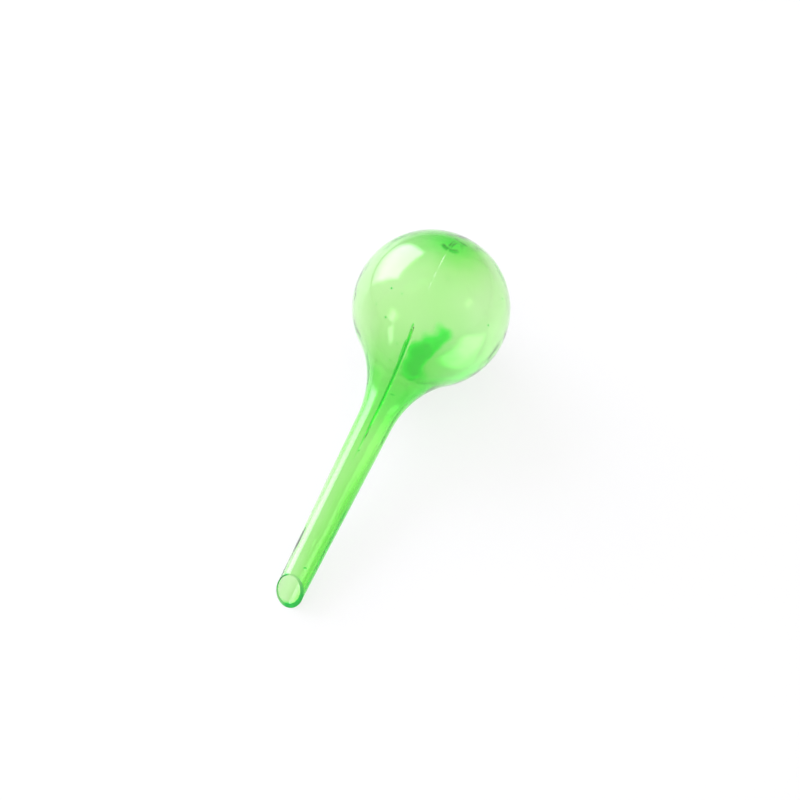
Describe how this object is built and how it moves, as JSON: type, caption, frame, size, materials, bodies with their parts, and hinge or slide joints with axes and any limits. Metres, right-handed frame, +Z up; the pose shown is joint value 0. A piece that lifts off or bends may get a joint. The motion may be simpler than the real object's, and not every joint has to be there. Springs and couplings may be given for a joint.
{
  "type": "watering globe",
  "caption": "Clear green blow-moulded watering globe: a hollow bulb on a long tapered stem, open at its slanted tip, that feeds water slowly to potted soil.",
  "frame": {"origin": "on the table, under the middle of the bounding box of the globe as it lies at rest", "axes": "+Z up from the table; the stem points to -Y and dips 11 degrees to the table, with its cut mouth facing up; the bulb is at the +Y end"},
  "size_m": [0.058, 0.1519, 0.058],
  "materials": {
    "shell": "clear green, glossy"
  },
  "bodies": {
    "root": {"globe": "shell"}
  },
  "joints": []
}
